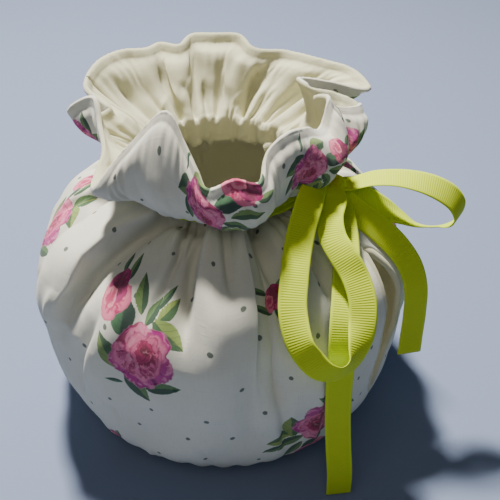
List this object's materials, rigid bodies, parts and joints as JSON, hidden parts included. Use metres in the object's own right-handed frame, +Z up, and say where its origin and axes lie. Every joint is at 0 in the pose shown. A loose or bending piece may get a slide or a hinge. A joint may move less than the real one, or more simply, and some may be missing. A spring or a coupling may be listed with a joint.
{
  "type": "tea cosy",
  "caption": "Round gathered tea cosy with a frilled top, a ribbon bow tied round its neck, and an opening in each side seam.",
  "frame": {"origin": "middle of the object's box, on the surface that the hem stands on", "axes": "+Z up through the neck, -Y the front that the picture shows more of, +X the side opening by the bow, -X the other side opening"},
  "size_m": [0.1964, 0.1854, 0.181],
  "materials": {
    "print_cotton": "off-white printed cotton on thin wadding, matt, with roses, leaves and pin dots",
    "cream_cotton": "plain cream cotton, matt",
    "grosgrain": "yellow-green grosgrain ribbon, fine crosswise ribs with a soft sheen"
  },
  "bodies": {
    "root": {"cover_front": "print_cotton", "cover_back": "print_cotton", "lining_front": "cream_cotton", "lining_back": "cream_cotton", "ribbon": "grosgrain"}
  },
  "joints": []
}
